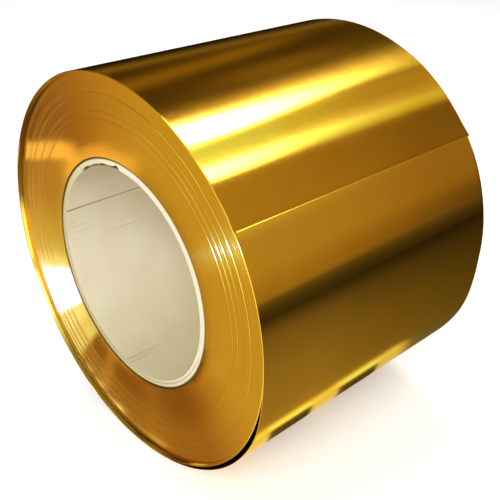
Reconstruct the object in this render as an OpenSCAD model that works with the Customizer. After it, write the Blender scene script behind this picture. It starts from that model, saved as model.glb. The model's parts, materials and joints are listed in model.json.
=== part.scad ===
// Roll of thin brass strip, wound on a paper core and lying on its side.
// The roll's axis is +Y, the near end faces -Y, and the floor is z = 0 under the middle of the roll.
// Angles round the roll are measured from straight down towards +X.

/* [Strip] */
// Width of the strip, along the axis of the roll
strip_w = 216; // [120:1:320]
// Outside diameter of the wound roll
roll_od = 276; // [240:1:420]
// Thickness of the strip
strip_t = 0.3; // [0.2:0.05:0.6]

/* [Ends of the turns] */
// How far the outermost turns stand out past the first ones at the near end
outer_shift = 4.5; // [2.5:0.5:8]
// Radial depth of those outermost turns
outer_band = 1.4; // [1:0.1:2.4]
// Radial depth of the evenly wound turns next to the core
even_band = 24.5; // [12:0.5:30]
// Radial depth of the few turns that stand out at the edge of the even ones
ridge_band = 0.7; // [0.4:0.1:1.5]
// Groups of turns between the even ones and the outermost ones
groups = 12; // [4:1:16]
// Largest sideways step between two groups
group_step = 0.5; // [0.3:0.1:1]
// How far these groups lean out towards the outermost turns
lean = 1.5; // [0:0.1:2]

/* [Last turn] */
// Angle where the loose part of the last turn leaves the roll, near the floor
loose_from = 4; // [0:1:20]
// Angle where it lies on the roll again, at the side
loose_to = 94; // [80:1:110]
// Angle where it stands off furthest
loose_peak = 64; // [45:1:70]
// Gap under it there
loose_gap = 3.3; // [1:0.1:5]
// Angle where the end of the strip lifts off the roll
tail_from = 129; // [122:1:150]
// Length of the lifted end of the strip
tail_len = 12; // [6:1:20]
// Slope of the lifted end against the roll, in degrees
tail_slope = 4; // [2:0.5:6]

/* [Core] */
// Bore of the paper core
core_id = 152.4; // [100:0.1:160]
// Wall of the paper core
core_wall = 5.8; // [3:0.1:10]
// Clearance between the core and the first turn, on the radius
core_gap = 0.2; // [0.1:0.05:0.5]
// How far the core's cut ends sit back from the first turns
core_sit_back = 0.5; // [0:0.1:3]
// Break of the core's cut edges
core_edge = 0.5; // [0.2:0.1:1]

/* [Hidden] */
$fn = 180;

outer_r = roll_od / 2;
under_r = outer_r - strip_t;
core_r = core_id / 2 + core_wall;
first_r = core_r + core_gap;
even_r = first_r + even_band;
ridge_r = even_r + ridge_band;
shifted_r = outer_r - outer_band;
groups_depth = shifted_r - ridge_r;
core_l = strip_w - 2 * core_sit_back;
// The first turns reach furthest towards +Y and the outermost ones towards -Y.
first_y = (outer_shift - strip_w) / 2;
outer_y = first_y - outer_shift;
// The lifted end and the loose part start inside the roll, this far along it.
tail_root = 4;
tail_cover = 0.5;
loose_cover = 7;
loose_step = 2;

// Point at radius r and at an angle from straight down
function around(r, angle) = [r * sin(angle), -r * cos(angle)];

// Inner radius of group i: the groups share their depth unevenly
function group_r(i) = ridge_r + groups_depth * (i + 0.3 * sin(100 * i) * sin(180 * i / groups)) / groups;

// Sideways place of the near edge of group i: a slow lean towards -Y with an uneven step on it
function group_y(i) = first_y - group_step * (0.5 + 0.5 * sin(140 * i)) - lean * i / groups;

// Near edges of all bands of turns as [radius, y] corners, from the core outwards
function near_edge() = concat(
    [[first_r, first_y], [even_r, first_y]],
    [[even_r, first_y - group_step], [ridge_r, first_y - group_step]],
    [for (i = [0 : groups - 1], side = [0, 1]) [group_r(i + side), group_y(i)]],
    [[shifted_r, outer_y], [under_r, outer_y]]
);

// Stand-off of the last turn from the one under it: a rounded swell that dips into the roll at both ends
function stand_off(angle) =
    let (
        span = angle > loose_peak ? loose_to - loose_peak : loose_peak - loose_from,
        swell = 0.5 + 0.5 * cos(180 * (angle - loose_peak) / span),
        dip = angle > loose_peak ? 2 * strip_t : 0.4 * strip_t
    ) (loose_gap + dip) * swell - dip;

// Places a section of the strip, drawn in x and z, along the width of the outermost turns
module along_strip() {
    translate([0, outer_y + strip_w, outer_r]) rotate([90, 0, 0]) linear_extrude(strip_w) children();
}

// All full turns as one turned solid: each band keeps the strip's width and is shifted as wound
module wound_turns() {
    near = near_edge();
    far = [for (i = [len(near) - 1 : -1 : 0]) near[i] + [0, strip_w]];
    translate([0, 0, outer_r]) rotate([-90, 0, 0]) rotate_extrude() polygon(concat(near, far));
}

// Part of the last turn that lies tight: from the lifted end over the top and down to the floor
module tight_turn() {
    first = tail_from - tail_cover;
    last = 360 + loose_from + loose_cover;
    reach = 2 * outer_r;
    fan = [for (k = [0 : 4]) around(reach, first + (last - first) * k / 4)];
    along_strip() difference() {
        intersection() {
            circle(outer_r);
            polygon(concat([[0, 0]], fan));
        }
        circle(under_r - strip_t);
    }
}

// Part of the last turn that sags off the roll beside the floor and leaves a crescent gap
module loose_turn() {
    angles = [for (a = [loose_from : loose_step : loose_to]) a];
    back = [for (i = [len(angles) - 1 : -1 : 0]) angles[i]];
    inner = [for (a = angles) around(under_r + stand_off(a), a)];
    outer = [for (a = back) around(outer_r + stand_off(a), a)];
    along_strip() polygon(concat(inner, outer));
}

// End of the strip, which springs straight off the roll
module tail() {
    along_strip()
        rotate(tail_from + 180) translate([0, under_r]) rotate(tail_slope)
            translate([-tail_root, 0]) square([tail_root + tail_len, strip_t]);
}

module brass_strip() {
    color("goldenrod") union() {
        wound_turns();
        tight_turn();
        loose_turn();
        tail();
    }
}

module core_tube() {
    e = core_edge;
    half = core_l / 2;
    bore_r = core_id / 2;
    middle_y = first_y + strip_w / 2;
    section = [
        [bore_r, -half + e], [bore_r + e, -half], [core_r - e, -half], [core_r, -half + e],
        [core_r, half - e], [core_r - e, half], [bore_r + e, half], [bore_r, half - e]
    ];
    color("cornsilk") translate([0, middle_y, outer_r]) rotate([-90, 0, 0]) rotate_extrude() polygon(section);
}

brass_strip();
core_tube();
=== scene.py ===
"""Looks of a roll of thin brass strip on its paper core, lying on its side.

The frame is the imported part's own: metres, the roll's axis along +Y, the near end facing -Y, the floor at
z = 0. Angles round the roll are in degrees from straight down towards +X, as in the part's source.
"""
import json
import math

import bpy
import numpy as np
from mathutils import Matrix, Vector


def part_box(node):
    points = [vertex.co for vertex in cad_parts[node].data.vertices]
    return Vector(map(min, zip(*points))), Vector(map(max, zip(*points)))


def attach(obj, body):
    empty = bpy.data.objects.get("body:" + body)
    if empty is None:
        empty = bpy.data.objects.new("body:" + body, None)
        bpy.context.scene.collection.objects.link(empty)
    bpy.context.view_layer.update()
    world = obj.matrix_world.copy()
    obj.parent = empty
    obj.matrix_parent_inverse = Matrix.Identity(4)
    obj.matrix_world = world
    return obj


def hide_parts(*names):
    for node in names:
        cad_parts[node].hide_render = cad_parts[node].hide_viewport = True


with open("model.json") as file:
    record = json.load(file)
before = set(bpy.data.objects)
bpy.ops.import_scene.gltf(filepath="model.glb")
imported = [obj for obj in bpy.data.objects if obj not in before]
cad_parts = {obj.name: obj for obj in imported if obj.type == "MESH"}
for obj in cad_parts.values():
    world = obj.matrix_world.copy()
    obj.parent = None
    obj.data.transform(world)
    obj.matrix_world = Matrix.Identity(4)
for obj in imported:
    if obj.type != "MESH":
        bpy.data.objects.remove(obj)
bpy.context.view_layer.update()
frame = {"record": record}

MM = 0.001
rng = np.random.default_rng(12)

# Sizes that the frame gives
STRIP_LOW, STRIP_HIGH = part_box("brass_strip")
CORE_LOW, CORE_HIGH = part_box("core_tube")
AXIS_Z = (CORE_LOW.z + CORE_HIGH.z) / 2
ROLL_R = (STRIP_HIGH.z - STRIP_LOW.z) / 2
CORE_R = (CORE_HIGH.x - CORE_LOW.x) / 2
BORE_R = frame["record"]["mounts"][0]["dims"]["r_mm"] * MM
NEAR_RIM = STRIP_LOW.y

# Sizes of the strip and its bands of turns, as in the part's source
STRIP_T = 0.3 * MM
OUTER_SHIFT = 4.5 * MM
STRIP_W = STRIP_HIGH.y - STRIP_LOW.y - OUTER_SHIFT
BOX_SLACK = 0.03 * MM
OUTER_BAND = 1.4 * MM
CORE_GAP = 0.2 * MM
EVEN_BAND = 24.5 * MM
RIDGE_BAND = 0.7 * MM
GROUPS = 12
GROUP_STEP = 0.5 * MM
LEAN = 1.5 * MM
LOOSE_FROM = 4
LOOSE_PEAK = 64
LOOSE_TO = 94
LOOSE_GAP = 3.3 * MM

# Angle of the tip of the strip's end, and how far on from it the end bends off the roll
TAIL_TIP = 124
TAIL_BEND = 9.5

FIRST_R = CORE_R + CORE_GAP
EVEN_R = FIRST_R + EVEN_BAND
RIDGE_R = EVEN_R + RIDGE_BAND
SHIFTED_R = ROLL_R - OUTER_BAND
FIRST_Y = NEAR_RIM + OUTER_SHIFT

# The two outermost layers are one long curl of strip of their own. The turns under them are three rings with
# the same steps round the roll, and each ring scatters the edges of its turns a little.
LAST_LAYERS = 2
LAST_BED_R = ROLL_R - LAST_LAYERS * STRIP_T - BOX_SLACK
MIDDLE_R = EVEN_R + 51 * STRIP_T
RING_STEPS = 180
EVEN_SCATTER = 0.002 * MM
UNEVEN_SCATTER = 0.006 * MM

# Angle of the seam along the core's bore, where its inner ply ends
SEAM = -107.5

CAMERA_PLACE = (0.38277, -0.34702, 0.39927)

# Colours of the reflected light. That of the windows is cool, so that the slit edges mirror it as white.
HIGH_WINDOW = np.array([1.6, 3.4, 34.0])
LOW_WINDOW = np.array([1.2, 2.8, 22.0])
BAND_LIGHT = np.array([1.05, 1.0, 0.5])
SIDE_LIGHT = np.array([1.3, 1.0, 0.65])

# Radius of the half tunnel that stands for the room
VAULT_R = 1.5


def around(radius, angle, y):
    """Points at a radius and an angle round the roll's axis: x = r sin a, z = axis - r cos a."""
    turn = np.radians(angle)
    return np.stack(np.broadcast_arrays(radius * np.sin(turn), y, AXIS_Z - radius * np.cos(turn)), -1)


def eased(value, low, high):
    """0 below low, 1 above high, and a cubic ease 3s^2 - 2s^3 between them."""
    share = np.clip((value - low) / (high - low), 0, 1)
    return share * share * (3 - 2 * share)


def window(value, low, high, edge):
    """1 between low and high, easing to 0 over the edge on both sides."""
    return eased(value, low - edge, low) * (1 - eased(value, high, high + edge))


def bump(value, centre, width):
    """A rounded bump of height 1: exp(-d^2), with d the distance from the centre in widths."""
    return np.exp(-(((value - centre) / width) ** 2))


def lofted(name, sections, across, along, ring, materials, tones, flat=()):
    """Closed skin over sections of K points each, one after another along the winding direction.

    A ring joins its last section to its first. Otherwise both ends get a cap, between points k and K - 1 - k.
    The UV map holds metres: U across the strip, V along its winding. Faces of a flat material keep plain
    facets.
    """
    count, size = sections.shape[:2]
    rows = np.arange(count if ring else count - 1)[:, None]
    columns = np.arange(size)[None, :]
    next_row = (rows + 1) % count
    next_column = (columns + 1) % size
    here, ahead = rows * size, next_row * size
    quads = np.stack([here + columns, here + next_column, ahead + next_column, ahead + columns], -1)
    quads = quads.reshape(-1, 4)
    left, right = across[columns], across[columns + 1]
    start, end = along[rows], along[rows + 1]
    corners_u = np.stack([left, right, right, left], -1)
    corners_v = np.stack([start, start, end, end], -1)
    uv = np.stack(np.broadcast_arrays(corners_u, corners_v), -1).reshape(-1, 4, 2)
    tone = np.broadcast_to(tones[None, :], (len(rows), size)).reshape(-1)
    if not ring:
        half = np.arange(size // 2 - 1)
        cap = np.stack([half, size - 1 - half, size - 2 - half, half + 1], -1)
        last = (cap + (count - 1) * size)[:, ::-1]
        cap_uv = np.stack([across[cap], np.zeros(cap.shape)], -1)
        quads = np.concatenate([quads, cap, last])
        uv = np.concatenate([uv, cap_uv, cap_uv[:, ::-1]])
        tone = np.concatenate([tone, np.full(2 * len(cap), tones[-1])])
    points = sections.reshape(-1, 3)
    a, b, c, d = (points[quads[:, i]] for i in range(4))
    volume = np.einsum("ij,ij->", a, np.cross(b, c)) + np.einsum("ij,ij->", a, np.cross(c, d))
    if volume < 0:
        quads = quads[:, ::-1]
        uv = uv[:, ::-1]
    mesh = bpy.data.meshes.new(name)
    mesh.from_pydata(points, [], quads)
    mesh.uv_layers.new(name="strip").data.foreach_set("uv", uv.astype(np.float32).ravel())
    for material in materials:
        mesh.materials.append(material)
    mesh.polygons.foreach_set("material_index", tone.astype(np.int32))
    mesh.polygons.foreach_set("use_smooth", ~np.isin(tone, flat))
    piece = bpy.data.objects.new(name, mesh)
    bpy.context.scene.collection.objects.link(piece)
    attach(piece, "root")
    return piece


def set_at_points(mesh, name, kind, values):
    """Stores a number (FLOAT) or a colour (FLOAT_COLOR) at each point of a mesh."""
    field = "value" if kind == "FLOAT" else "color"
    made = mesh.attributes.new(name, kind, "POINT")
    made.data.foreach_set(field, values.astype(np.float32).ravel())


def lengths(path):
    """Distance walked along a line of points from 0, with the step back to the first point at the end."""
    steps = np.linalg.norm(np.roll(path, -1, axis=0) - path, axis=-1)
    return np.concatenate([[0], np.cumsum(steps)])


# Materials

def shader(name):
    """A new material, its node tree and its Principled shader."""
    material = bpy.data.materials.new(name)
    material.use_nodes = True
    tree = material.node_tree
    return material, tree, tree.nodes["Principled BSDF"]


def node(tree, kind, settings=(), **inputs):
    """A node with its settings, and with each input either set to a value or linked to a socket."""
    made = tree.nodes.new(kind)
    for key, value in dict(settings).items():
        setattr(made, key, value)
    for key, value in inputs.items():
        socket = made.inputs[int(key[1:]) if key[0] == "_" else key.replace("_", " ")]
        if isinstance(value, bpy.types.NodeSocket):
            tree.links.new(value, socket)
        else:
            socket.default_value = value
    return made


def strip_streaks(tree, across, along, detail):
    """Noise drawn out along the winding direction. Its grains have a size across and along, in metres."""
    place = node(tree, "ShaderNodeUVMap", {"uv_map": "strip"})
    scaled = node(tree, "ShaderNodeMapping", Vector=place.outputs["UV"], Scale=(1 / across, 1 / along, 1))
    grain = node(
        tree, "ShaderNodeTexNoise", {"noise_dimensions": "2D"},
        Vector=scaled.outputs["Vector"], Scale=1.0, Detail=detail, Roughness=0.55,
    )
    return grain.outputs["Fac"]


def patches(tree, size, detail):
    """Soft patches of the given size in metres, in the object's own coordinates."""
    place = node(tree, "ShaderNodeTexCoord")
    noise = node(
        tree, "ShaderNodeTexNoise",
        Vector=place.outputs["Object"], Scale=1 / size, Detail=detail, Roughness=0.5,
    )
    return noise.outputs["Fac"]


def spread(tree, value, low, high):
    """Maps a noise value from its usual 0.3 to 0.7 onto low to high."""
    made = node(
        tree, "ShaderNodeMapRange", Value=value, From_Min=0.3, From_Max=0.7, To_Min=low, To_Max=high
    )
    return made.outputs["Result"]


def mixed(tree, share, first, second, blend="MIX"):
    """Colour between two colours, or another blend of them."""
    kind = {"data_type": "RGBA", "blend_type": blend}
    made = node(tree, "ShaderNodeMix", kind, _0=share, _6=first, _7=second)
    return made.outputs[2]


def shade_here(tree, output):
    """The shade that the mesh carries at each point, as a number (Fac) or a colour (Color)."""
    return node(tree, "ShaderNodeAttribute", {"attribute_name": "shade"}).outputs[output]


def lay_along_strip(tree, brass):
    """Turns the stretched highlights of a brass along the winding direction."""
    tangent = node(tree, "ShaderNodeTangent", {"direction_type": "UV_MAP", "uv_map": "strip"})
    tree.links.new(tangent.outputs["Tangent"], brass.inputs["Tangent"])


def rolled_brass():
    """Bright rolled face of the strip, with faint rolling lines along it that blur reflections across it."""
    material, tree, brass = shader("rolled_brass")
    lines = strip_streaks(tree, 0.5 * MM, 60 * MM, 3.0)
    cloud = patches(tree, 45 * MM, 2.0)
    tone = mixed(tree, spread(tree, cloud, 0.0, 1.0), (0.83, 0.475, 0.05, 1), (0.88, 0.53, 0.062, 1))
    tree.links.new(tone, brass.inputs["Base Color"])
    shine = node(tree, "ShaderNodeMath", {"operation": "ADD"}, _0=spread(tree, lines, 0.0, 0.03), _1=0.12)
    tree.links.new(shine.outputs[0], brass.inputs["Roughness"])
    relief = node(tree, "ShaderNodeBump", Strength=0.06, Distance=0.02 * MM, Height=lines)
    tree.links.new(relief.outputs["Normal"], brass.inputs["Normal"])
    lay_along_strip(tree, brass)
    brass.inputs["Metallic"].default_value = 1.0
    brass.inputs["Specular Tint"].default_value = (1.0, 0.95, 0.5, 1)
    brass.inputs["Anisotropic"].default_value = 0.8
    return material


def slit_edges():
    """Slit edges of the turns on the roll's ends: deeper in colour, and blurred across the turns."""
    material, tree, brass = shader("slit_edges")
    turns = strip_streaks(tree, 1.1 * MM, 300 * MM, 4.0)
    cloud = patches(tree, 30 * MM, 3.0)
    tone = mixed(tree, spread(tree, turns, 0.0, 1.0), (0.83, 0.39, 0.032, 1), (0.89, 0.43, 0.040, 1))
    tree.links.new(tone, brass.inputs["Base Color"])
    dull = node(tree, "ShaderNodeMath", {"operation": "ADD"}, _0=spread(tree, cloud, 0.0, 0.02), _1=0.06)
    tree.links.new(dull.outputs[0], brass.inputs["Roughness"])
    lay_along_strip(tree, brass)
    brass.inputs["Metallic"].default_value = 1.0
    brass.inputs["Anisotropic"].default_value = 0.85
    return material


def turn_sides():
    """Flat sides of the turns where a step leaves them bare: bright, and dark where shade is painted on them.
    """
    material, tree, brass = shader("turn_sides")
    shade = shade_here(tree, "Fac")
    # The dark colour is painted shade, picked by the shade attribute, which also makes those sides rougher.
    tone = mixed(tree, shade, (0.20, 0.085, 0.008, 1), (0.88, 0.55, 0.08, 1))
    tree.links.new(tone, brass.inputs["Base Color"])
    dull = node(tree, "ShaderNodeMapRange", Value=shade, To_Min=0.3, To_Max=0.1)
    tree.links.new(dull.outputs["Result"], brass.inputs["Roughness"])
    brass.inputs["Metallic"].default_value = 1.0
    brass.inputs["Specular Tint"].default_value = (1.0, 0.62, 0.12, 1)
    return material


def dull_sides():
    """Narrow flat sides of the turns that climb one by one: they shine softly, and are paler where a
    highlight is painted.
    """
    material, tree, brass = shader("dull_sides")
    # The pale colour is a painted highlight, where the shade attribute is 1.
    tone = mixed(tree, shade_here(tree, "Fac"), (0.64, 0.31, 0.028, 1), (1.0, 0.7, 0.14, 1))
    tree.links.new(tone, brass.inputs["Base Color"])
    brass.inputs["Roughness"].default_value = 0.5
    brass.inputs["Metallic"].default_value = 1.0
    return material


def core_paper():
    """Plain uncoated paper of the core's bore, with faint fibres and soft stains, and the painted shade it
    carries.
    """
    material, tree, paper = shader("core_paper")
    fibres = patches(tree, 1.2 * MM, 4.0)
    stains = patches(tree, 22 * MM, 3.0)
    tone = mixed(tree, spread(tree, stains, 0.0, 1.0), (0.78, 0.70, 0.51, 1), (0.82, 0.755, 0.57, 1))
    # The shade attribute carries painted shade and highlights, made in paper_core and bore_relief.
    tone = mixed(tree, 1.0, tone, shade_here(tree, "Color"), "MULTIPLY")
    tree.links.new(tone, paper.inputs["Base Color"])
    relief = node(tree, "ShaderNodeBump", Strength=0.2, Distance=0.06 * MM, Height=fibres)
    tree.links.new(relief.outputs["Normal"], paper.inputs["Normal"])
    paper.inputs["Roughness"].default_value = 0.8
    paper.inputs["Specular IOR Level"].default_value = 0.25
    paper.inputs["Specular Tint"].default_value = (1.0, 0.8, 0.2, 1)
    return material


def cut_paper():
    """Cut end of the core, a little yellower than its bore, with its plies as faint rings."""
    material, tree, paper = shader("cut_paper")
    plies = strip_streaks(tree, 0.45 * MM, 40 * MM, 2.0)
    tone = mixed(tree, spread(tree, plies, 0.0, 1.0), (0.74, 0.64, 0.44, 1), (0.80, 0.71, 0.51, 1))
    # The shade attribute carries the plies' tone round the ring, and painted shade in the torn recess, the
    # slit and the gap at the ring's outer edge.
    tone = mixed(tree, 1.0, tone, shade_here(tree, "Color"), "MULTIPLY")
    tree.links.new(tone, paper.inputs["Base Color"])
    paper.inputs["Roughness"].default_value = 0.85
    paper.inputs["Specular IOR Level"].default_value = 0.2
    paper.inputs["Specular Tint"].default_value = (1.0, 0.8, 0.2, 1)
    return material


# Turns of the roll

def band_edge(radius):
    """Near edge of the turn at a radius: even turns, the ridge at their edge, uneven groups, outer turns.

    Group i starts at ridge + depth (i + 0.3 sin 100i sin(180i / n)) / n. Its edge sits out by
    step (0.5 + 0.5 sin 140i) + lean i / n. Angles are in degrees. A group that is followed by one further
    out climbs to it turn by turn, and a group that is followed by one further in ends in a square step. The
    even turns climb to the ridge in their last stretch, and the outer turns sit a little inside the curl.
    """
    i = np.arange(GROUPS)
    unevenness = 0.3 * np.sin(np.radians(100 * i)) * np.sin(np.radians(180 * i / GROUPS))
    starts = RIDGE_R + (SHIFTED_R - RIDGE_R) * (i + unevenness) / GROUPS
    ends = np.append(starts[1:], SHIFTED_R)
    out = GROUP_STEP * (0.5 + 0.5 * np.sin(np.radians(140 * i))) + LEAN * i / GROUPS
    climbed = np.maximum(out, np.append(out[1:], out[-1]))
    knots = np.stack([starts + 0.001 * MM, ends], -1).ravel()
    heights = np.stack([out, climbed], -1).ravel()
    even_knots = [FIRST_R, EVEN_R - 2 * MM, EVEN_R, RIDGE_R]
    even_heights = [0, 0, GROUP_STEP, GROUP_STEP]
    outer_knots = SHIFTED_R + MM * np.array([0.001, 0.3, 0.6])
    outer_heights = OUTER_SHIFT - MM * np.array([0.3, 0.25, 0.2])
    knots = np.concatenate([even_knots, knots, outer_knots])
    heights = np.concatenate([even_heights, heights, outer_heights])
    return FIRST_Y - np.interp(radius, knots, heights)


def wander(angle):
    """Slow drift of all turns in and out round the roll: w (sin 2a + 0.6 sin(3a + 1)), with w = 0.03 mm."""
    turn = np.radians(angle)
    return 0.03 * MM * (np.sin(2 * turn) + 0.6 * np.sin(3 * turn + 1))


def wound_turns(name, inner, outer, scatter, materials):
    """Wound turns as one ring: each turn's edge is flat and at its own place along Y, with square steps.

    A turn that stands out past the next one on its outer side has that side of its edge broken along the +X
    side of the roll. Sides of turns that face the core get painted shade in two stretches of the winding,
    and the innermost side of each ring of turns gets it all round. Sides of climbing turns get a painted
    highlight in one stretch.
    """
    count = round((outer - inner) / STRIP_T)
    pitch = (outer - inner) / count
    starts = inner + pitch * np.arange(count)
    places = band_edge(starts + pitch / 2)
    places = places + np.clip(rng.normal(0, scatter, count), -2 * scatter, 2 * scatter)
    after = np.append(places[1:], band_edge(np.array([outer + pitch / 2])))
    if outer > SHIFTED_R:
        after[-1] = places[-1] + STRIP_T
    broken = np.clip(0.2 * (after - places - 0.08 * MM), 0, 0.04 * MM)
    radii = (starts[:, None] + pitch * np.array([0.0, 0.5, 1.0])).ravel()
    angles = np.arange(RING_STEPS)[:, None] * 360 / RING_STEPS
    worn = (broken[:, None] * np.array([0, 0.3, 1])).ravel() * window(angles, 45, 165, 25)
    edges = np.repeat(places, 3) + worn + wander(angles)
    near = around(radii, angles, edges)
    far = around(radii, angles, np.minimum(edges + STRIP_W, STRIP_HIGH.y))
    sections = np.concatenate([near, far[:, ::-1]], axis=1)
    across = lengths(sections[0])
    along = np.arange(RING_STEPS + 1) * np.pi * (inner + outer) / RING_STEPS
    size = sections.shape[1]
    climbs = (after < places) & (starts < SHIFTED_R - 1.5 * pitch)
    sides = np.where(climbs, 2, 1)
    tones = np.zeros((2, size // 2), int)
    tones[0, 2::3] = sides
    tones[1, 2::3] = np.append(sides[-2::-1], 1)
    piece = lofted(name, sections, across, along, True, materials, tones.ravel(), flat=(0,))
    # Painted shade on the sides that face the core: dark in two stretches of the winding, down to 0 at angle
    # 0.
    painted_shade = 1 - window(angles, 192, 262, 10) - 0.85 * window(angles, 322, 362, 12)
    painted_shade = painted_shade - eased(-angles, -20, 0)
    # Painted highlight: climbing sides inside 132 mm are paler in one stretch of the winding.
    pale = window(angles, 288, 306, 3) * (np.repeat(starts, 3) < 132 * MM)
    shade = np.where(np.repeat(climbs, 3), pale, np.where(np.repeat(after < places, 3), painted_shade, 1))
    # Painted shade: the innermost side of each ring of turns is dark all round.
    shade[:, 0] = 0
    shade = np.concatenate([shade, shade[:, ::-1]], axis=1)
    set_at_points(piece.data, "shade", "FLOAT", shade)
    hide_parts("brass_strip")


def strip_stand_off(angle):
    """Height of the curl over its bed at an angle counted on from the tail's tip.

    The tail lifts as k d^2 towards its tip, and curls up a little more there as h exp(-d / s). The loose part
    rises slowly from the floor as (gap + dip) (0.5 + 0.5 cos) - dip, and the larger of that and the tight
    path counts, rounded where they cross. It falls quickly at the side as (gap + layer) (0.5 + 0.5 cos)^1.5,
    where the strip passes one layer further in.
    """
    tail_root = TAIL_TIP + TAIL_BEND
    lift = ROLL_R * 0.5 * np.radians(np.clip(tail_root - angle, 0, None)) ** 2
    lift = lift + 0.16 * MM * np.exp(-np.radians(angle - TAIL_TIP) * ROLL_R / (1.1 * MM))
    falling = angle > 360 + LOOSE_PEAK
    rise = (angle - 360 - LOOSE_PEAK) / np.where(falling, LOOSE_TO - LOOSE_PEAK, LOOSE_PEAK - LOOSE_FROM)
    swell = 0.5 + 0.5 * np.cos(np.pi * np.clip(rise, -1, 1))
    dip = 0.4 * STRIP_T
    loose = STRIP_T + (LOOSE_GAP + dip) * swell - dip
    rising = 0.5 * (STRIP_T + loose + np.hypot(STRIP_T - loose, 0.05 * MM))
    return lift + np.where(falling, (LOOSE_GAP + STRIP_T) * swell**1.5, rising)


def last_turns(materials):
    """The two outermost layers as one curl of strip, almost twice round the roll from its lifted tail.

    It ends just short of where the loose part lies on the roll again. Its slit edges are rounded over
    towards the outer face, and the inner layer sits back from the outer one.
    """
    end = 2 * 360 + LOOSE_TO - 2
    tip = TAIL_TIP + np.array([0, 0.01, 0.04, 0.1, 0.18, 0.28, 0.4, 0.55])
    bend = np.linspace(TAIL_TIP + 0.75, TAIL_TIP + 12, 56)
    angles = np.concatenate([tip, bend, np.linspace(TAIL_TIP + 13, end, 680)])[:, None]
    set_in = 0.08 * MM
    width = STRIP_W - 2 * set_in
    edge = np.array([0.0, 0.03, 0.08, 0.16, 0.26, 0.5, 2.0, 8.0, 25.0, 60.0]) * MM
    reach = np.concatenate([edge, [width / 2], (width - edge)[::-1]])
    round_depth = 0.24 * MM
    round_width = 0.26 * MM
    corner = round_depth * (1 - np.sqrt(1 - (1 - np.clip(reach / round_width, 0, 1)) ** 2))
    corner = np.maximum(corner, corner[::-1])
    height = np.concatenate([STRIP_T - corner, 0.1 * corner[::-1]])
    inset = 0.3 * MM * eased(angles, 360 + LOOSE_TO, 360 + LOOSE_TO + 60)
    y = NEAR_RIM + set_in + np.concatenate([reach, reach[::-1]])[None, :] + inset
    radius = LAST_BED_R + strip_stand_off(angles) + height[None, :]
    sections = around(radius, angles, np.minimum(y, NEAR_RIM + STRIP_W - 0.02 * MM))
    across = lengths(sections[0])
    along = np.concatenate([[0], np.cumsum(np.radians(np.diff(angles[:, 0])) * ROLL_R)])
    size = sections.shape[1]
    tones = np.zeros(size, int)
    half = size // 2
    slit_faces = [0, 1, 2, half - 4, half - 3, half - 2, half - 1, size - 1]
    tones[slit_faces] = 1
    piece = lofted("last_turns", sections, across, along, False, materials, tones)
    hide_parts("brass_strip")


# Paper core

def bore_relief(angle, depth):
    """How far the bore stands in towards the axis and how much painted shade its paper gets, by angle and
    depth.

    The inner ply ends in a seam along the bore: the ply above it stands proud as h exp(-d / s), and a shadow
    line is painted on the ply below it. Creases are narrow bumps along the bore, and wrinkles are short ones
    near the end. Each has painted shade on the side that the light misses, a painted highlight on the other.
    """
    deep = 0.35 + 0.65 * np.exp(-depth / (45 * MM))
    above = np.clip(SEAM - angle, 0, None)
    proud = 0.5 * MM * deep * np.exp(-above / 2.5) * (angle < SEAM)
    proud = proud + 0.16 * MM * deep * bump(angle, SEAM + 1.2, 0.5)
    # Painted shadow line just below the seam, and a faint painted highlight a little further on.
    dark = 0.75 * deep * bump(angle, SEAM + 0.35, 0.55) - 0.12 * deep * bump(angle, SEAM + 1.6, 0.6)
    for start, reach in ((-9.6, 40), (-8.5, 36), (-6.6, 27), (-5.6, 24)):
        at = start + 0.02 * depth / MM
        fading = 1 - eased(depth, 0.5 * reach * MM, reach * MM)
        proud = proud + 0.24 * MM * bump(angle, at, 0.28) * fading
        # Painted shade on one side of the crease and a painted highlight on the other.
        side = bump(angle, at + 0.5, 0.3) - 0.5 * bump(angle, at - 0.3, 0.3)
        dark = dark + 0.3 * side * fading
    for at, place, wide, long in (
        (-99, 4, 0.9, 4), (-96, 10, 0.7, 7), (-92, 13, 0.8, 6), (-89, 5, 0.7, 3), (-84, 9, 0.8, 5),
        (-81, 3, 0.6, 3), (-86, 52, 1.0, 14), (-83, 60, 0.8, 9), (-46, 6, 0.7, 4), (-38, 12, 0.6, 5),
    ):
        fading = bump(depth, place * MM, long * MM)
        proud = proud + 0.16 * MM * bump(angle, at, wide) * fading
        # Painted shade and highlight on the two sides of the wrinkle.
        side = bump(angle, at + 0.7 * wide, 0.45 * wide) - 0.5 * bump(angle, at - 0.3 * wide, 0.45 * wide)
        dark = dark + 0.14 * side * fading
    wave = 0.05 * MM * np.sin(np.radians(7 * angle)) * np.sin(40 * depth)
    return proud + wave, dark


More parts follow.
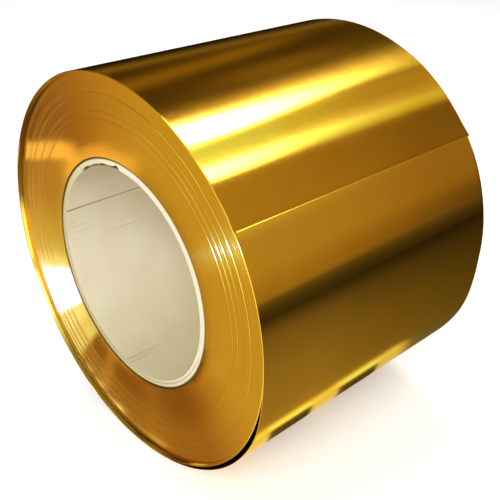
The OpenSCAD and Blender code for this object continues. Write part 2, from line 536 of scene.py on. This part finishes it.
def paper_core(materials):
    """The core as a ring, with the seam, creases and wrinkles of its bore and a torn ply at its near end.

    Over the torn part the inner ply ends deeper in and leaves a ragged step inside the cut ring, darkened by
    painted shade. At the lower right a slit parts the plies of the cut ring, with painted shade in it.
    Painted shade also darkens the bore at its bottom and top, and the outer edge of the cut ring as a shadow
    gap.
    """
    at_seam = SEAM + np.array([-0.8, -0.4, -0.15, 0.05, 0.2, 0.4, 0.7, 1.0])
    at_creases = np.arange(-12, -3, 0.25)
    at_tear = np.arange(156, 180, 0.45)
    angles = np.unique(np.concatenate([np.arange(-180, 180, 0.9), at_seam, at_creases, at_tear]))
    angles = angles[np.append(True, np.diff(angles) > 0.04)][:, None]
    turn = angles % 360
    length = CORE_HIGH.y - CORE_LOW.y
    edge = 0.5 * MM
    shallow = [0.5, 1, 1.6, 2.4, 3.4, 4.6, 6, 8, 10, 12.5, 15, 18, 21, 24, 28, 32, 36, 40, 45, 50, 56, 62, 70]
    depth = np.concatenate([MM * np.array(shallow), np.linspace(80 * MM, length - edge, 14)])
    proud, dark = bore_relief(angles, depth)
    ragged = 0.85 + 0.12 * np.sin(np.radians(19 * turn)) + 0.12 * np.sin(np.radians(43 * turn + 60))
    torn = window(turn, 184, 212, 6) * ragged
    hole = bump(turn, 181.5, 1.7)
    set_back = (0.8 * torn + 0.9 * hole) * MM
    y_bore = CORE_LOW.y + depth + set_back * (1 - eased(depth, 0, 12 * MM))
    bore = np.broadcast_to(BORE_R - proud, y_bore.shape)
    # Painted shade round the bore: darker at the bottom and the top, lightest on the -X side.
    bore_turns = [0, 30, 180, 225, 240, 290, 315, 330, 345, 360]
    bore_painted_shade = [0.77, 0.85, 0.75, 0.77, 0.95, 1.0, 0.92, 0.84, 0.8, 0.77]
    # Painted shade on the bore just inside the torn step and the hole.
    torn_step_shade = 0.3 * np.minimum(torn + hole, 1) * (1 - eased(depth, 0, 2 * MM))
    # All the bore's painted shade and highlights, multiplied together.
    paper = np.interp(turn, bore_turns, bore_painted_shade) * (1 - np.clip(dark, -0.2, 0.8)) * (1 - torn_step_shade)
    step_r = BORE_R + (0.35 + 1.2 * torn + 1.9 * hole) * MM
    slit = window(turn, 12, 62, 14) + 0.6 * window(turn, 330, 350, 12)
    slit_r = BORE_R + 2.3 * MM + 0.2 * MM * np.sin(np.radians(5 * turn))
    half_slit = 0.35 * MM
    rim_r = np.broadcast_to(CORE_R - np.array([1.6 * MM, 1.1 * MM, edge, 0]), (len(angles), 4))
    none = 0 * turn
    near_r = [BORE_R + 0.12 * MM + none, step_r, step_r + 0.08 * MM]
    near_r = np.concatenate(near_r + [slit_r - half_slit, slit_r, slit_r + half_slit, rim_r], 1)
    near_y = [set_back, set_back, none, none, 0.7 * MM * slit, none, 0 * rim_r[:, :3], none + edge]
    near_y = np.concatenate(near_y, 1)
    ply_turns = [0, 60, 180, 215, 240, 300, 330, 360]
    ply = np.interp(turn, ply_turns, [0.68, 1.0, 1.0, 0.82, 0.68, 0.68, 0.62, 0.68])
    # Painted shade in the recess over the torn ply and the hole.
    painted_recess_shade = ply * (1 - 0.9 * np.minimum(torn + 1.2 * hole, 1))
    # Painted shade: the outer millimetre of the cut ring is dark, as a shadow gap against the brass.
    painted_gap_shade = np.broadcast_to([1.0, 0.3, 0.12, 0.1], rim_r.shape) * ply
    # The slit's faces get painted shade as well.
    near_tone = np.concatenate([painted_recess_shade, painted_recess_shade, ply, ply, ply * (1 - 0.5 * slit), ply, painted_gap_shade], 1)
    far_r = np.tile([CORE_R, CORE_R - edge, BORE_R + edge], (len(angles), 1))
    far_y = np.tile([length - edge, length, length], (len(angles), 1))
    radius = np.concatenate([bore[:, ::-1], near_r, far_r], 1)
    y = np.concatenate([y_bore[:, ::-1], CORE_LOW.y + near_y, CORE_LOW.y + far_y], 1)
    shade = np.concatenate([paper[:, ::-1], near_tone, np.ones(far_r.shape)], 1)
    sections = around(radius, angles, y)
    tones = np.zeros(sections.shape[1], int)
    tones[len(depth) - 1:] = 1
    along = np.radians(np.append(angles[:, 0], 180) + 180) * CORE_R
    piece = lofted("paper_core", sections, lengths(sections[0]), along, True, materials, tones)
    colours = np.stack([shade, shade**1.1, shade**1.6, np.ones(shade.shape)], -1)
    set_at_points(piece.data, "shade", "FLOAT_COLOR", colours)
    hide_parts("core_tube")


# Surroundings that only reflections see

def glowing(name, points, glow):
    """A sheet of light that shows in reflections alone, with its colour at each point of its grid."""
    rows, columns = points.shape[:2]
    first = (np.arange(rows - 1)[:, None] * columns + np.arange(columns - 1)).reshape(-1)
    quads = np.stack([first, first + 1, first + columns + 1, first + columns], -1)
    mesh = bpy.data.meshes.new(name)
    mesh.from_pydata(points.reshape(-1, 3), [], quads)
    colours = np.concatenate([glow.reshape(-1, 3), np.ones((rows * columns, 1))], 1)
    set_at_points(mesh, "glow", "FLOAT_COLOR", colours)
    material = bpy.data.materials.new(name)
    material.use_nodes = True
    tree = material.node_tree
    tree.nodes.clear()
    colour = node(tree, "ShaderNodeAttribute", {"attribute_name": "glow"})
    light = node(tree, "ShaderNodeEmission", Color=colour.outputs["Color"], Strength=1.0)
    node(tree, "ShaderNodeOutputMaterial", Surface=light.outputs[0])
    mesh.materials.append(material)
    sheet = bpy.data.objects.new(name, mesh)
    bpy.context.scene.collection.objects.link(sheet)
    sheet.visible_camera = False
    sheet.visible_diffuse = False
    sheet.visible_transmission = False
    sheet.visible_volume_scatter = False
    sheet.visible_shadow = False


def warm_light(level):
    """Colour of reflected light by its level: amber where dim, then yellowish, and white where bright."""
    red_levels = [0.15, 0.35, 0.6, 0.85, 1.2, 2.0, 4.0]
    red = level * np.interp(level, red_levels, [1.6, 1.35, 1.05, 0.85, 0.72, 0.75, 1.0])
    blue = level * np.interp(level, [0.3, 0.85, 1.2, 2.0, 4.0], [0.35, 0.45, 0.75, 0.95, 1.0])
    return np.stack([red, level, blue], -1)


def vault_level(angle, y):
    """Light of the room above, by the angle from straight up towards +X and the place along Y.

    Two long lamps along Y, a lit ceiling between them, a lit wall on the +X side and a dim one opposite.
    """
    far = eased(y, 0.9, 2.0)
    hot = 0.42 * bump(angle, 54, 5) * (1 - eased(y, 0.8, 1.5))
    wall = 0.40 - 0.20 * far - 0.10 * bump(angle, 34, 8) + hot - 0.12 * eased(angle, 76, 92)
    wall = wall * window(angle, 27, 112, 2)
    wall = wall + 2.5 * window(angle, 60, 92, 5) * (1 - eased(y, -0.5, 0.1))
    between = window(angle, 3, 22, 3) * (1.45 - 1.1 * eased(y, 0.8, 1.65)) * (1 - 0.18 * bump(angle, 10, 5))
    halo = bump(angle, -11, 6.5) * (0.15 + 0.45 * bump(y, 1.4, 0.3))
    narrow = eased(y, 0.95, 1.5)
    lamp = window(angle, -6.5 + 1.5 * narrow, 4.5 - 6.5 * narrow, 2.2)
    lamp = lamp * (22 * (1 - eased(y, 1.0, 1.65)) ** 1.3 + 1.0 - 0.4 * eased(y, 1.5, 2.0))
    second = 15 * (1 - eased(y, 0.8, 1.32)) ** 1.5 + 0.9 - 0.45 * eased(y, 1.4, 2.0)
    second = second * window(angle, 21.5, 26.5, 1.8)
    ends = eased(y, -0.4, -0.2)
    dim = 0.04 + 0.12 * bump(angle + 18 * (y - 1.0), -50, 7) * (1 - eased(y, 1.2, 1.6))
    dim = dim + 0.12 * bump(angle, -31, 7) * bump(y, 1.3, 0.25) + 0.10 * bump(angle, -71, 5)
    dim = dim + 0.6 * (1 - eased(y, -0.7, -0.2)) * window(angle, -60, -16, 12)
    dim = (dim + 0.2 * (1 - eased(y, -0.4, 0.2))) * (1 - 0.85 * eased(-angle, 76, 86))
    dim = dim * window(angle, -112, -16, 6)
    return wall + between + halo + (lamp + second) * ends + dim


def vault():
    """Half a tunnel round the roll's axis, closed in front: what the brass mirrors from above the floor."""
    angle, y = np.meshgrid(np.linspace(-100, 100, 301), np.linspace(-2.5, 5, 121), indexing="ij")
    turn = np.radians(angle)
    points = np.stack([VAULT_R * np.sin(turn), y, AXIS_Z + VAULT_R * np.cos(turn)], -1)
    glint = 10 * window(angle, 62, 67, 1.5) * window(y, -2.2, -0.7, 0.1)
    glow = warm_light(vault_level(angle, y)) + glint[..., None] * HIGH_WINDOW
    glowing("vault", points, glow)
    x, z = np.meshgrid(np.linspace(-1.6, 1.6, 65), np.linspace(0, 1.7, 35), indexing="ij")
    points = np.stack([x, np.full_like(x, -2.5), z], -1)
    front = 1.1 + 14 * bump(x, 0.55, 0.22) * bump(z, 0.25, 0.25)
    glowing("front_wall", points, warm_light(front))


def seen_on_end(x, y):
    """Place on the roll's near end, as X and Z, where the camera sees a point of the floor mirrored.

    The camera's own mirror image in the end's plane looks straight at the floor point. The place is where
    that line crosses the plane.
    """
    eye_x, eye_y, eye_z = CAMERA_PLACE
    mirror_y = 2 * FIRST_Y - eye_y
    share = (mirror_y - FIRST_Y) / (mirror_y - np.minimum(y, FIRST_Y - 0.003))
    return eye_x + (x - eye_x) * share, eye_z * (1 - share)


def front_level(x, y):
    """Light of the floor in front of the near end, laid out by the place on the end that mirrors it.

    Lit floor on the right, the roll's own shade below, a window patch on the left with a yellow fringe round
    it, a dark far floor at the top left with a bright level band under it, and a dark patch opposite the
    bore. The band and the window patch come as levels of their own, as their light is of another colour.
    """
    on_x, on_z = seen_on_end(x, y)
    radius = np.hypot(on_x, on_z - AXIS_Z)
    angle = np.degrees(np.arctan2(on_x, AXIS_Z - on_z))
    turn = angle % 360
    level = 0.62 - 0.40 * eased(turn, 150, 222)
    level = level + 0.45 * bump(turn, 120.5, 4.5) * eased(radius, 0.07, 0.12)
    level = np.where(turn > 222, 0.22, level)
    drop = on_z - 0.28 * on_x
    under_band = (1 - eased(drop, 0.219, 0.2225)) * (turn > 200)
    level = level + under_band * (0.2 + 0.45 * eased(turn, 250, 282) + 0.5 * eased(turn, 274, 290))
    band = window(drop, 0.2215, 0.2335, 0.001) * (turn > 200) * (1 - eased(on_x, -0.062, -0.045))
    arc = window(radius, 0.070, 0.0885, 0.0025) * window(turn, 170, 228, 8)
    band = 0.9 * band + 0.5 * arc * (1 - band)
    shade = 0.24 * (0.75 + 0.35 * eased(radius, 0.095, 0.12)) + 0.38 * eased(angle, 38, 78)
    shade = shade + 0.22 * bump(angle, -20.5, 3.2) + 0.07 * bump(angle, 12, 9)
    below = window(angle, -34.5, 70, 1.5)
    level = level * (1 - below) + shade * below
    fringe = window(angle, -68, -36, 10) * eased(angle, -80, -70) * (1 - eased(angle, -36.5, -34))
    on_roll = 1 - eased(radius, 0.142, 0.152)
    level = np.where(angle < -34, np.maximum(level, 1.35 * fringe * on_roll), level)
    level = level + 0.45 * window(angle, -74, -48, 5) * on_roll
    rim = eased(radius, 0.1305, 0.1335)
    level = level * (1 - 0.6 * rim * window(turn, 228, 268, 6))
    inner_rim = eased(radius, 0.1255, 0.129)
    level = level + inner_rim * (1.2 * window(angle, -32, -10, 5) + 0.4 * window(angle, -10, 14, 4))
    level = level * (1 - 0.7 * eased(radius, 0.139, 0.145) * (turn > 215))
    level = level * (1 - 0.8 * eased(radius, 0.1345, 0.1365) * window(angle, -50, 25, 8))
    opposite_bore = 1 - eased(radius, 0.074 + 0.01 * window(angle, 55, 75, 8), 0.086)
    level = level * (1 - opposite_bore) + (0.1 + 0.7 * (1 - eased(on_x, -0.01, 0.02))) * opposite_bore
    reach = np.interp(angle, [40, 61, 81, 99, 112, 122], [0.165, 0.175, 0.2, 0.255, 0.33, 0.42])
    patch = window(angle, -69, -54, 2) * on_roll * (1 - opposite_bore)
    beside = eased(on_x, 0.05, 0.12) * eased(radius, 0.148, 0.162)
    level = level + beside * (0.1 + 1.2 * (1 - eased(radius, reach, 1.12 * reach)))
    return level, band, patch


def side_level(x, y):
    """Light of the floor beside the roll: lit near it, dark towards the horizon, with a bright contact slit.

    The foot of that slit is dimmer, and dark along two stretches.
    """
    places = [0.13, 0.2, 0.3, 0.4, 0.5, 0.62, 0.8, 0.95, 2.2]
    near = np.interp(x, places, [0.31, 0.26, 0.2, 0.17, 0.11, 0.035, 0.04, 0.06, 0.17])
    fade = 0.1 + 0.9 * np.exp(-np.clip(y - 0.6 * (x - 0.15), 0, None) / 0.16)
    level = near * np.where(x < 0.62, fade, 1)
    foot = 1 - eased(x, 0.115, 0.122)
    stretches = window(y, -0.045, -0.003, 0.003) + window(y, 0.030, 0.075, 0.003)
    slit = (0.8 + 0.35 * stretches - 0.3 * foot) * (1 - eased(x, 0.131, 0.146)) * (1 - eased(y, 0.1, 0.125))
    return level * (1 - 0.9 * stretches * foot), slit * (1 - 0.97 * stretches * foot)


def behind_level(x, y):
    """Light of the floor on the side that the camera doesn't see: lit near the roll and dark further."""
    far = np.hypot(x, y - 0.1)
    return 0.03 + 0.3 * eased(far, 0.24, 0.3) * (1 - eased(far, 0.35, 0.55)) * eased(y, -0.05, 0.05)


def floor_light():
    """The floor round the roll as its reflections see it, a hair above the plain one."""
    spacing = 4 * np.sinh(4.2 * np.linspace(-1, 1, 301)) / np.sinh(4.2)
    x, y = np.meshgrid(spacing, spacing, indexing="ij")
    points = np.stack([x, y, np.full_like(x, 0.2 * MM)], -1)
    in_front = (y < FIRST_Y)[..., None]
    beside, slit = side_level(x, y)
    side = beside[..., None] * SIDE_LIGHT + warm_light(slit)
    rest = warm_light(behind_level(x, y))
    front, band, patch = front_level(x, y)
    front = warm_light(front) + band[..., None] * BAND_LIGHT + patch[..., None] * LOW_WINDOW
    glow = np.where(in_front, front, np.where((x > 0)[..., None], side, rest))
    glowing("floor_light", points, glow)


# Floor, background, lamps and camera

def pale_floor():
    """Plain pale floor, a little brighter for the camera alone, so that it shows white round the shadow."""
    mesh = bpy.data.meshes.new("floor")
    size = 20
    corners = [(-size, -size, 0), (size, -size, 0), (size, size, 0), (-size, size, 0)]
    mesh.from_pydata(corners, [], [(0, 1, 2, 3)])
    material, tree, plain = shader("floor")
    plain.inputs["Base Color"].default_value = (0.9, 0.9, 0.9, 1)
    plain.inputs["Roughness"].default_value = 0.9
    plain.inputs["Specular IOR Level"].default_value = 0.0
    seen = node(tree, "ShaderNodeLightPath").outputs["Is Camera Ray"]
    glow = node(tree, "ShaderNodeMath", {"operation": "MULTIPLY"}, _0=seen, _1=0.25)
    plain.inputs["Emission Color"].default_value = (1, 1, 1, 1)
    tree.links.new(glow.outputs[0], plain.inputs["Emission Strength"])
    mesh.materials.append(material)
    floor = bpy.data.objects.new("floor", mesh)
    bpy.context.scene.collection.objects.link(floor)


def white_world():
    """White background for the camera and for reflections, and a plain soft light for the rest."""
    world = bpy.data.worlds.new("world")
    bpy.context.scene.world = world
    world.use_nodes = True
    tree = world.node_tree
    back = tree.nodes["Background"]
    path = node(tree, "ShaderNodeLightPath").outputs
    seen = path["Is Camera Ray"]
    for ray in ("Is Glossy Ray", "Is Transmission Ray"):
        seen = node(tree, "ShaderNodeMath", {"operation": "MAXIMUM"}, _0=seen, _1=path[ray]).outputs[0]
    level = node(tree, "ShaderNodeMapRange", Value=seen, To_Min=0.5, To_Max=1.0)
    tree.links.new(level.outputs["Result"], back.inputs["Strength"])
    back.inputs["Color"].default_value = (1, 1, 1, 1)


def lamp(name, place, target, size, power):
    """A soft square lamp that looks at a point. Reflections come from the surroundings instead."""
    light = bpy.data.lights.new(name, "AREA")
    light.size = size
    light.energy = power
    made = bpy.data.objects.new(name, light)
    made.location = place
    aim = np.array(target) - np.array(place)
    dip = math.acos(aim[2] / np.linalg.norm(aim)) - math.pi
    made.rotation_euler = (dip, 0, math.atan2(aim[1], aim[0]) + math.pi / 2)
    made.visible_glossy = False
    bpy.context.scene.collection.objects.link(made)


def camera():
    """The camera that fits the photograph: its place, its heading left of +Y and its dip below level."""
    lens = bpy.data.cameras.new("camera")
    lens.lens = 55.33
    lens.sensor_width = 36
    made = bpy.data.objects.new("camera", lens)
    made.location = CAMERA_PLACE
    made.rotation_euler = (math.radians(90 - 28.461), 0, math.radians(47.257))
    bpy.context.scene.collection.objects.link(made)
    bpy.context.scene.camera = made


camera()
white_world()
pale_floor()
vault()
floor_light()
lamp("key_lamp", (0.8, -1.2, 1.2), (0, 0, 0.1), 0.9, 24)
lamp("fill_lamp", (-0.9, 0.6, 1.6), (0, 0, 0.1), 1.2, 14)

brass_face = rolled_brass()
brass_edge = slit_edges()
turn_materials = [brass_edge, turn_sides(), dull_sides()]
wound_turns("first_turns", FIRST_R, EVEN_R, EVEN_SCATTER, turn_materials)
wound_turns("middle_turns", EVEN_R, MIDDLE_R, UNEVEN_SCATTER, turn_materials)
wound_turns("outer_turns", MIDDLE_R, LAST_BED_R, UNEVEN_SCATTER, turn_materials)
last_turns([brass_face, brass_edge])
paper_core([core_paper(), cut_paper()])

bpy.context.scene.view_settings.view_transform = "Standard"
